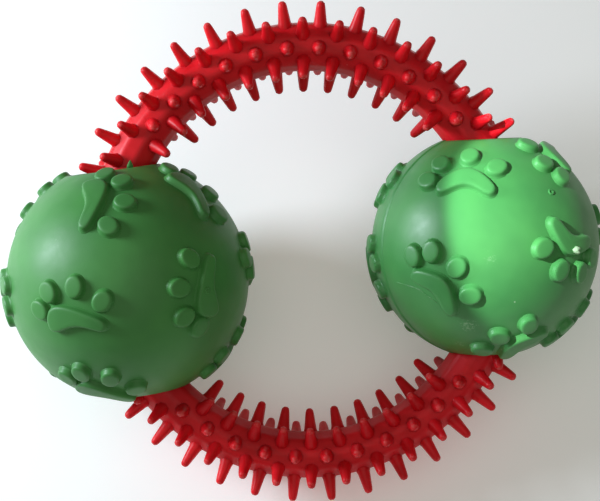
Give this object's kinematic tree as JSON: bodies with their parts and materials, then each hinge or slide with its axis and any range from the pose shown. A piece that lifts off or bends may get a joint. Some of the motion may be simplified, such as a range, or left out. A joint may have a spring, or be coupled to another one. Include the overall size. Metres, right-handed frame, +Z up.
{
  "type": "chew ring dog toy",
  "caption": "Rubber chew ring with rows of blunt spikes, threaded through hollow rubber balls with raised paw prints that spin on the ring.",
  "frame": {"origin": "on the floor that the toy lies on, below the middle of its bounding box", "axes": "+Z up from the floor, +X from the larger ball to the smaller one, +Y away from the ring's side that touches the floor"},
  "size_m": [0.1742, 0.1344, 0.0729],
  "materials": {
    "red_rubber": "semi-gloss moulded rubber",
    "green_rubber": "semi-gloss moulded rubber"
  },
  "bodies": {
    "ring": {"upper_half_ring": "red_rubber", "lower_half_ring": "red_rubber"},
    "left_ball": {"left_ball": "green_rubber"},
    "right_ball": {"right_ball": "green_rubber"}
  },
  "joints": [
    {"name": "left_ball_spin", "type": "hinge", "parent": "ring", "child": "left_ball", "pos_m": [-0.05001, -0.00725, 0.0363], "axis": [-0.123, 0.9111, 0.3935], "continuous": true},
    {"name": "right_ball_spin", "type": "hinge", "parent": "ring", "child": "right_ball", "pos_m": [0.05215, 0.0033, 0.0341], "axis": [-0.03, 0.9199, 0.3911], "continuous": true}
  ]
}
